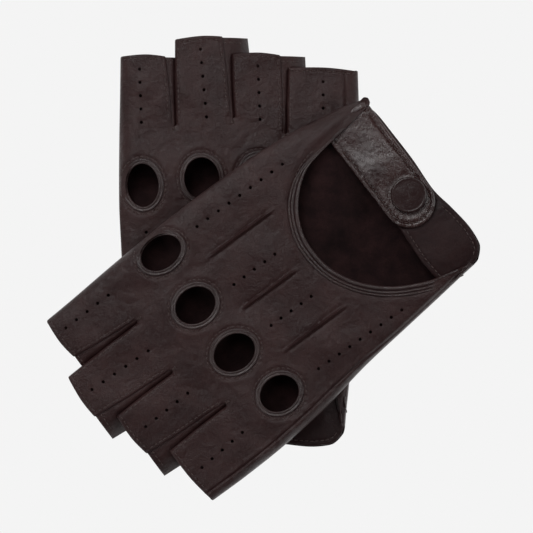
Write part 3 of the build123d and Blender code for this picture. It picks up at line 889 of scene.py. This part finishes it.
def make_fourchette(relief, k):
    """Both walls of the slit between fingers k and k + 1: the flap that shows, and the next finger's own."""
    lay = relief.lay
    seam, _, rolled = relief.lines.slits[k]
    root = np.array([[0.0, -CROTCH_COVER]])
    up = np.concatenate([seam[-1:] + root, seam[::-1]])
    rolled = np.concatenate([rolled[:1] + root, rolled])
    along = np.linspace(0, 1, FLAP_RINGS)
    widths = FLAP_ROOT_WIDTH + (lay.flap - FLAP_ROOT_WIDTH) * ease(along * 1.2)
    rings, upper = [], []
    across_t = np.linspace(0, 1, 15)
    for s, width in zip(along, widths):
        edge = up[min(int(s * (len(up) - 1)), len(up) - 1)]
        x = edge[0] - 0.9 + (width + 0.9) * across_t
        y = edge[1] - lay.flap_fall * np.maximum(x - edge[0], 0) * s
        z = gusset_height(relief, k, np.column_stack([x, y]), seam, width)
        top = np.column_stack([x, y, z])
        below = np.column_stack([x - 0.1, y, np.maximum(z - LEATHER, 0.85)])
        rings.append(np.concatenate([top, below[::-1]]))
    for s, flap in zip(along, widths):
        edge = rolled[min(int(s * (len(rolled) - 1)), len(rolled) - 1)]
        start = edge[0] - np.interp(edge[1], up[:, 1], up[:, 0])
        width = flap - start
        x = edge[0] + 0.5 + (width + 0.6) * across_t
        y = np.full(len(x), edge[1] - 0.4)
        low = gusset_height(relief, k, np.column_stack([x - 1.1, y]), seam, width + start)
        top = np.minimum(low + 1.15, relief.level(np.column_stack([x, y])) - 1.5)
        outer = np.column_stack([x, y, np.maximum(top, 1.7)])
        below = np.column_stack([x, y, np.maximum(top - LEATHER, 0.9)])
        upper.append(np.concatenate([outer, below[::-1]]))
    name = f"{lay.side}_fourchette_{FINGERS[k]}"
    piece = merge([loft(name, lay, rings, NAPPA), loft(name + "_wall", lay, upper, NAPPA)])
    finished(piece, lay, "glove", [f"fourchette_{FINGERS[k]}_{FINGERS[k + 1]}"])
    return (0.55 * rings[-2] + 0.45 * rings[-3])[1:12]


RING_SECTION = (
    (-0.6, -0.25), (-0.63, 0.22), (-0.38, 0.6), (-0.04, 0.64), (0.24, 0.4), (0.4, 0.2), (0.6, 0.3),
    (0.96, 0.44), (1.3, 0.42), (1.52, 0.2), (1.62, -0.2), (1.2, -0.6), (0.5, -0.8), (-0.2, -0.75),
)


def make_knuckle_binding(relief, k):
    """A flat leather ring folded over the cut edge of a knuckle hole, with a welt along the edge."""
    lay, hole = relief.lay, relief.holes[k]
    rng = np.random.default_rng(relief.seed + 80 + k)
    count = 84
    t = np.linspace(0, 2 * math.pi, count, endpoint=False)
    normal = np.stack([np.cos(t) / hole[2], np.sin(t) / hole[3]], axis=1)
    normal /= np.linalg.norm(normal, axis=1, keepdims=True)
    edge = np.stack([hole[0] + hole[2] * np.cos(t), hole[1] + hole[3] * np.sin(t)], axis=1)
    z = relief.back(edge + normal * 2.4, fine=False)
    z = np.convolve(np.concatenate([z[-4:], z, z[:4]]), np.ones(9) / 9, "valid")
    gather = 1 + 0.1 * np.sin(t * 17 + rng.uniform(0, 6)) + 0.1 * np.sin(t * 29 + rng.uniform(0, 6))
    section = np.array(RING_SECTION)
    rings = []
    for i in range(count):
        plane = edge[i] + normal[i] * section[:, :1]
        rings.append(np.column_stack([plane, z[i] + 0.12 + section[:, 1] * gather[i]]))
    ring = loft(f"{lay.side}_binding_{FINGERS[k]}", lay, rings, BINDING_NAPPA, closed=True, sharp=80)
    finished(ring, lay, "glove", [f"knuckle_binding_{FINGERS[k]}"])


VENT_SECTION = (
    (-0.95, -0.15), (-0.88, 0.42), (-0.5, 0.86), (0.0, 0.98), (0.5, 0.8), (0.85, 0.4), (1.02, 0.05),
    (1.2, 0.3), (1.6, 0.6), (2.0, 0.6), (2.3, 0.3), (2.45, 0.0), (2.65, 0.25), (3.0, 0.42), (3.35, 0.3),
    (3.7, -0.35), (3.0, -0.8), (1.0, -1.2), (-0.3, -1.05), (-0.8, -0.65),
)


def make_vent_binding(relief):
    """The folded edging of the half-moon opening: a roll at the edge, and two low welts beside it."""
    lay, line = relief.lay, resample(relief.lines.vent, 1.1)
    side = across(line)
    middle = len(line) // 2
    if side[middle, 1] < 0:
        side = -side
    z = relief.back(line + side * 4.4, fine=False)
    pad = 5
    padded = np.concatenate([np.full(pad, z[0]), z, np.full(pad, z[-1])])
    z = np.convolve(padded, np.ones(2 * pad + 1) / (2 * pad + 1), "valid")
    along = np.linspace(0, 1, len(line))
    waver = 0.05 * np.sin(along * 160) + 0.04 * np.sin(along * 97 + 1)
    section = np.array(VENT_SECTION)
    rings = []
    for i in range(len(line)):
        ends = min(ease((along[i] - 0.16) / 0.2), ease((1 - along[i]) / 0.08))
        size = 0.22 + 0.78 * ends
        reach = section[:, 0] * size + 0.2 * (1 - ends)
        rise = section[:, 1] * size * (1 + waver[i]) + 0.1 * ends
        rings.append(np.column_stack([line[i] + side[i] * reach[:, None], z[i] + rise]))
    piece = loft(f"{lay.side}_vent_binding", lay, rings, BINDING_NAPPA, sharp=70)
    finished(piece, lay, "glove", ["vent_binding"])
    stitched = line + side * 2.75
    return np.column_stack([stitched, z + 0.3])[int(0.2 * len(line)):-3]


def strap_outline(shrink=0.0, tail=0.0):
    low, high = STRAP_ROOT_Y - STRAP_ROOT_WIDTH / 2, STRAP_ROOT_Y + STRAP_ROOT_WIDTH / 2
    radius = STRAP_END_R - shrink
    t = np.linspace(-math.pi / 2, math.pi / 2, 26)
    end = np.stack([STRAP_END_X + radius * np.cos(t), STRAP_END_Y + radius * np.sin(t)], axis=1)
    root = np.array([(STRAP_ROOT_X - tail, high - shrink), (STRAP_ROOT_X - tail, low + shrink)])
    corner = np.concatenate([end, root, end[:1]])
    return resample(corner, 0.8)[:-1]


def strap_height(points, seed):
    """The strap's outer face: low where it passes under the radial strip, soft over the opening."""
    x, y = points[:, 0], points[:, 1]
    dip = 2.4 * (1 - ease((x + 33) / 26))
    crown = 1.0 * (1 - ((y - STRAP_ROOT_Y + 1) / 11) ** 2) * ease((-5 - x) / 9)
    sag = 0.28 * ripple(points, 17, seed) * ease((-x) / 14)
    return STRAP_TOP_Z + 0.1 - dip + crown + sag * ease((14 - np.abs(y - 12)) / 8)


def make_strap(relief):
    lay, seed = relief.lay, relief.seed + 100
    loop = strap_outline(tail=9.0)
    stitch_line = strap_outline(shrink=2.1, tail=6.0)
    near = [stitch_line, *offsets(stitch_line, (0.45, 0.9), closed=True)]
    near = [*offsets(loop, (0.35, 0.9, 1.5), closed=True), *near]
    flat, triangles = triangulate([loop], 0.85, (), near)
    d, groove = distance(flat, loop, closed=True), distance(flat, stitch_line, closed=True)
    heights = strap_height(flat, seed) - 0.75 * roll(d, 1.0)
    heights += 0.2 * bump(groove - 1.5, 1.2) - 0.42 * bump(groove, 0.45)
    puckers = np.sin(14 * np.arctan2(flat[:, 1] - STRAP_END_Y, flat[:, 0] - STRAP_END_X))
    heights += 0.12 * puckers * ease((flat[:, 0] - 4) / 6) * (1 - ease((d - 3.2) / 1.5))
    from_cap = np.linalg.norm(flat - (SNAP_X, SNAP_Y), axis=1)
    calm = ease((from_cap - 6.5) / 6)
    turned = np.stack([flat[:, 0] + 0.35 * flat[:, 1], 0.22 * flat[:, 1]], axis=1)
    heights -= calm * (0.13 * creases(turned, 4.5, seed + 5) + 0.1 * creases(turned, 2.2, seed + 9))
    heights -= 0.25 * bump(from_cap - 8.6, 1.0)
    skin = (STRAP_NAPPA, SUEDE, STRAP_NAPPA)
    strap = thick_sheet(f"{lay.side}_strap_leather", lay, flat, triangles, heights, STRAP_LEATHER, skin)
    bend = [[STRAP_ROOT_X + x, STRAP_ROOT_Y, STRAP_TOP_Z] for x in STRAP_BEND]
    ends = lay.row(np.array(bend))
    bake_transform(strap)
    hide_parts(f"{lay.side}_strap_outer", f"{lay.side}_strap_tail")
    inner_loop = strap_outline(shrink=0.35)
    flat, triangles = triangulate([inner_loop], 1.3)
    under = strap_height(flat, seed) - 0.8 - 0.2 * roll(distance(flat, inner_loop, closed=True), 1.0)
    name = f"{lay.side}_strap_lining_leather"
    lining = thick_sheet(name, lay, flat, triangles, under, 0.62, LINING_SKIN)
    finished(lining, lay, "strap", ["strap_lining"])
    seam = resample(np.concatenate([stitch_line, stitch_line[:1]]), 0.5)
    seam = seam[seam[:, 0] > STRAP_ROOT_X + 2.8]
    order = np.argsort(np.arctan2(seam[:, 1] - STRAP_END_Y, seam[:, 0] + 22))
    seam = seam[order]
    return np.column_stack([seam, strap_height(seam, seed) - 0.02])


BAND = ((-8.0, 3.8), (-5.5, 1.9), (10.0, 1.5), (20.0, -0.9), (28.5, -2.1), (36.0, -1.9), (39.6, -0.3),
        (42.0, 2.8), (43.0, 6.5), (43.3, 12.0), (42.4, 21.0), (30.0, 22.4), (12.0, 22.0), (-5.5, 21.4),
        (-8.0, 17.7))


def band_height(points):
    x = points[:, 0]
    return 8.55 + 1.75 * ease((x - 8.8) / 8.2) + 0.45 * ease((x - 17) / 12) - 1.3 * ease((x - 33) / 9)


def make_band(relief):
    """The band that carries the stud, coming out from under the little-finger side of the opening."""
    lay, seed = relief.lay, relief.seed + 120
    loop = resample(np.array(BAND + BAND[:1]), 0.9)[:-1]
    flat, triangles = triangulate([loop], 1.0, (), offsets(loop, (0.35, 0.9, 1.6, 2.1, 2.6), closed=True))
    d = distance(flat, loop, closed=True)
    heights = band_height(flat) - 0.65 * roll(d, 1.2) - 0.24 * bump(d - BAND_STITCHES, 0.5)
    heights += 0.1 * ripple(flat, 14, seed)
    heights -= 0.12 * creases(flat, 12, seed + 3)
    # The band's face and cut edge take the nappa painted darker as shade.
    skin = (NAPPA_PAINTED_SHADE_BAND, SUEDE, NAPPA_PAINTED_SHADE_BAND)
    band = thick_sheet(f"{lay.side}_band_leather", lay, flat, triangles, heights, STRAP_LEATHER, skin)
    finished(band, lay, "glove", ["band_outer"])
    flat, triangles = triangulate([loop], 2.0)
    name = f"{lay.side}_band_lining_leather"
    lining = thick_sheet(name, lay, flat, triangles, band_height(flat) - 0.8, 0.6, LINING_SKIN)
    finished(lining, lay, "glove", ["band_lining"])
    edge = loop + across(loop, closed=True) * BAND_STITCHES
    if not inside(edge[:1], [loop])[0]:
        edge = loop - across(loop, closed=True) * BAND_STITCHES
    low = edge[(edge[:, 1] < 4) & (edge[:, 0] > 15) & (edge[:, 0] < 41)]
    high = edge[(edge[:, 1] > 16) & (edge[:, 0] > 15) & (edge[:, 0] < 40)]
    return [resample(p[np.argsort(p[:, 0])], 0.6) for p in (low, high)]


CAP_PROFILE = ((0.0, 1.92), (3.0, 1.91), (5.8, 1.84), (6.4, 1.84), (6.8, 1.95), (7.1, 1.88), (7.35, 1.62),
               (7.55, 1.2), (7.58, 0.6), (7.4, 0.1), (6.4, -0.1))


def make_cap(relief):
    """The leather pulled over the snap's cap: a flat disc inside a raised rim, gathered under the edge."""
    lay = relief.lay
    profile = smooth(CAP_PROFILE, 0.3)
    count = 96
    rings = []
    for radius, z in profile:
        t = np.linspace(0, 2 * math.pi, count, endpoint=False)
        edge = ease((radius - 5.6) / 1.8)
        r = radius + 0.05 * edge * np.sin(t * 23) + 0.03 * edge * np.sin(t * 37 + 1)
        height = z + 0.04 * np.sin(t * 3 + 1) * (1 - edge) * ease(radius / 3)
        rings.append(np.stack([SNAP_X + r * np.cos(t), SNAP_Y + r * np.sin(t), STRAP_TOP_Z + height], axis=1))
    cap = loft(f"{lay.side}_cap_leather", lay, rings, CAP_NAPPA, sharp=80)
    finished(cap, lay, "strap", ["snap_cap_cover"])


def thumb_outline():
    """The flattened thumb from above, before it is tucked: round base, tapering sides, straight tip."""
    half, tip = THUMB_BASE_R, THUMB_TIP_HALF
    t = np.linspace(math.pi, 2 * math.pi, 40)
    base = np.stack([half * np.cos(t), half * np.sin(t)], axis=1)
    taper = ((half + tip) / 2, 24.0)
    sides = smooth([(half, 0.01), (half - 0.2, 8.0), taper, (tip + 0.2, 40.0), (tip, THUMB_LENGTH)])
    top = smooth([(tip, THUMB_LENGTH), (0.0, THUMB_LENGTH + 0.9), (-tip, THUMB_LENGTH)])
    return base, sides, top, sides[::-1] * (-1, 1)


def tucked(points):
    """Points of the thumb's own plan where it lies under the palm."""
    c, s = math.cos(THUMB_TUCK), math.sin(THUMB_TUCK)
    out = points.copy()
    out[:, 0] = THUMB_X + points[:, 0] * c + points[:, 1] * s
    out[:, 1] = THUMB_Y - points[:, 0] * s + points[:, 1] * c
    return out


def make_thumb(relief):
    """The thumb: two leaves meeting in a rolled seam, open at the hemmed tip and into the palm."""
    lay, seed = relief.lay, relief.seed + 90
    base, right, top, left = thumb_outline()
    loop = join([base, right, top, left])
    rolled = join([left, base, right])
    hole = circle((0.0, 0.0), THUMB_HOLE_R, 48)
    near = offsets(rolled, (0.35, 0.9, 1.6)) + offsets(top, (2.0, 2.5, 3.0))
    pieces = []
    for name, loops, high in (("upper", [loop, hole], True), ("lower", [loop], False)):
        flat, triangles = triangulate(loops, 1.5, (), near)
        edge = roll(distance(flat, rolled), 3.4)
        hem = bump(distance(flat, top) - 2.5, 0.55)
        wave = 0.14 * ripple(flat, 13, seed) + 0.3 * creases(flat, 11, seed + 4) * (0 if high else 0.4)
        if high:
            heights = THUMB_HEIGHT - 0.3 - (THUMB_HEIGHT / 2 - 0.4) * edge - 0.25 * hem - np.abs(wave)
        else:
            heights = 0.12 + (THUMB_HEIGHT / 2 - 0.3) * edge + 0.2 * hem + 0.6 * np.abs(wave)
        inward = -1 if high else 1
        leaf = f"{lay.side}_thumb_{name}"
        pieces.append(thick_sheet(leaf, lay, tucked(flat), triangles, heights, LEATHER, SKIN, inward))
    thumb = merge(pieces)
    thumb.name = f"{lay.side}_thumb_leather"
    finished(thumb, lay, "thumb", ["thumb"])
    hem_line = inset(top, 2.5, [loop])
    return np.column_stack([tucked(hem_line), np.full(len(hem_line), THUMB_HEIGHT - 0.5)])


# ------------------------------------------------------------------ stitching
STITCH_RINGS = (  # place along the stitch, size against its radius, height in mm
    (0.0, 0.35, -0.30), (0.14, 0.85, -0.06), (0.5, 1.0, 0.06), (0.86, 0.85, -0.06), (1.0, 0.35, -0.30)
)


def stitch_mesh(path, pitch, length, radius, rng):
    """Capsule-shaped stitches along a path of pattern points, each dipping into the leather at its ends."""
    path = resample(path, 0.25)
    along = np.concatenate([[0], np.cumsum(np.linalg.norm(np.diff(path, axis=0), axis=1))])
    starts = np.arange(0.2, along[-1] - length, pitch)
    sides = 6
    t = np.linspace(0, 2 * math.pi, sides, endpoint=False)
    points, faces = [], []
    for start in starts:
        start += rng.uniform(-0.06, 0.06)
        reach = (start, start + length)
        ends = np.stack([np.interp(reach, along, path[:, i]) for i in range(3)], axis=1)
        run = (ends[1] - ends[0]) / max(np.linalg.norm(ends[1] - ends[0]), 1e-9)
        side = np.array([-run[1], run[0], 0.0])
        side /= max(np.linalg.norm(side), 1e-9)
        up = np.cross(run, side)
        up = up if up[2] > 0 else -up
        first = len(points)
        for s, size, dip in STITCH_RINGS:
            centre = ends[0] + (ends[1] - ends[0]) * s + up * dip
            points += [centre + radius * size * (side * math.cos(a) * 1.15 + up * math.sin(a)) for a in t]
        for i in range(len(STITCH_RINGS) - 1):
            for k in range(sides):
                q = (k + 1) % sides
                low, high = first + i * sides, first + (i + 1) * sides
                faces.append((low + k, low + q, high + q, high + k))
    return points, faces


def make_stitches(name, lay, part, paths, lift=0.1):
    rng = np.random.default_rng(len(name) + 11)
    points, faces = [], []
    for path in paths:
        path = np.array(path, float)
        path[:, 2] += lift
        got, quads = stitch_mesh(path, STITCH_PITCH, STITCH_LENGTH, STITCH_R, rng)
        faces += [tuple(i + len(points) for i in q) for q in quads]
        points += got
    if lay.mirrored:
        faces = [f[::-1] for f in faces]
    piece = new_object(f"{lay.side}_{name}", lay.row(np.array(points)), faces, [THREAD], sharp=180)
    finished(piece, lay, part)


def closed_path(loop):
    return np.concatenate([loop, loop[:2]])


def shell_stitches(relief):
    """Stitch paths on the back: rings round the holes, fingertip hems, tacks at the slits' ends."""
    lines, paths = relief.lines, []

    def lay_on(path):
        path = resample(path, 0.5)
        return np.column_stack([path, relief.back(path)])

    for hole in relief.holes:
        ring = ellipse(hole, RING_STITCHES)
        ring = closed_path(np.roll(ring, len(ring) // 2, axis=0))
        clear = inside(ring, [lines.back]) & (distance(ring, lines.fold) > STITCH_LENGTH / 2)
        paths.append(lay_on(ring[clear]))
    for tip in lines.tips:
        path = inset(tip, HEM_INSET, [lines.back])
        paths.append(lay_on(path[path[:, 0].argsort()]))
    for seam, _, rolled in lines.slits:
        for side in (seam, rolled):
            path = inset(side, SEAM_INSET, [lines.back])
            paths.append(lay_on(path[2:-1]))
    for x, y in relief.lay.crotches:
        for drop in (1.5, 2.1, 2.7):
            paths.append(lay_on(np.array([(x - 1.2, y - drop), (x + 1.2, y - drop + 0.2)])))
    return paths


# ------------------------------------------------------------------ the pair
def dress_metal(lay):
    for node in ("cap", "socket", "stud", "post", "spring"):
        piece = frame["nodes"][f"{lay.side}_snap_{node}"]
        piece.data.materials.clear()
        piece.data.materials.append(BRONZE if node == "spring" else NICKEL)


def make_glove(lay, seed):
    relief = Relief(lay, seed)
    make_shell(relief)
    make_palm(relief)
    glove_paths = shell_stitches(relief)
    glove_paths.append(make_hem(relief))
    for k in range(3):
        glove_paths.append(make_fourchette(relief, k))
    for k in range(4):
        make_knuckle_binding(relief, k)
    glove_paths.append(make_vent_binding(relief))
    strap_path = make_strap(relief)
    for path in make_band(relief):
        glove_paths.append(np.column_stack([path, band_height(path)]))
    make_cap(relief)
    make_stitches("thumb_stitches", lay, "thumb", [make_thumb(relief)], lift=0.05)
    make_stitches("glove_stitches", lay, "glove", glove_paths)
    make_stitches("strap_stitches", lay, "strap", [strap_path])
    dress_metal(lay)


make_glove(RIGHT, 100)
make_glove(LEFT, 200)


# ------------------------------------------------------------------ floor, light, camera
FLOOR_WHITE = srgb(244, 244, 244)[0]
VIEW_WIDTH = 0.2239      # metres of floor across the picture
CAMERA_HEIGHT = 3.0
SENSOR = 36.0


def make_floor():
    bpy.ops.mesh.primitive_plane_add(size=6.0, location=(0, 0, -0.0002))
    floor = bpy.context.object
    floor.name = "floor"
    material = bpy.data.materials.new("floor_white")
    material.use_nodes = True
    tree = material.node_tree
    shader = next(n for n in tree.nodes if n.type == "BSDF_PRINCIPLED")
    shader.inputs["Base Color"].default_value = (0.0, 0.0, 0.0, 1.0)
    shader.inputs["Roughness"].default_value = 1.0
    shader.inputs["Specular IOR Level"].default_value = 0.0
    shader.inputs["Emission Color"].default_value = (1.0, 1.0, 1.0, 1.0)
    shader.inputs["Emission Strength"].default_value = FLOOR_WHITE
    floor.data.materials.append(material)


def make_light(name, place, target, size, power):
    data = bpy.data.lights.new(name, "AREA")
    data.shape, data.size, data.size_y = "RECTANGLE", size[0], size[1]
    data.energy = power
    lamp = bpy.data.objects.new(name, data)
    lamp.location = place
    lamp.rotation_euler = (Vector(target) - Vector(place)).to_track_quat("-Z", "Y").to_euler()
    bpy.context.scene.collection.objects.link(lamp)


def make_camera():
    data = bpy.data.cameras.new("camera")
    data.sensor_width = SENSOR
    data.lens = SENSOR * CAMERA_HEIGHT / VIEW_WIDTH
    data.clip_end = 20
    camera = bpy.data.objects.new("camera", data)
    camera.location = (0.0017, 0.0007, CAMERA_HEIGHT)
    bpy.context.scene.collection.objects.link(camera)
    bpy.context.scene.camera = camera


make_floor()
make_light("overhead", (-0.5, 0.9, 2.2), (0, 0, 0), (0.9, 0.9), 11.5)
make_light("key", (-0.5, 0.85, 1.0), (0, 0, 0), (0.5, 0.35), 6.0)
make_light("side", (0.95, 0.1, 0.75), (0, 0, 0), (0.3, 0.8), 3.4)
make_light("low", (-0.8, -0.7, 0.7), (0, 0, 0), (0.6, 0.3), 2.2)
make_camera()

world = bpy.data.worlds.new("studio")
bpy.context.scene.world = world
world.use_nodes = True
world.node_tree.nodes["Background"].inputs["Color"].default_value = (1.0, 1.0, 1.0, 1.0)
world.node_tree.nodes["Background"].inputs["Strength"].default_value = 0.1
bpy.context.scene.view_settings.view_transform = "Standard"
bpy.context.scene.view_settings.look = "None"
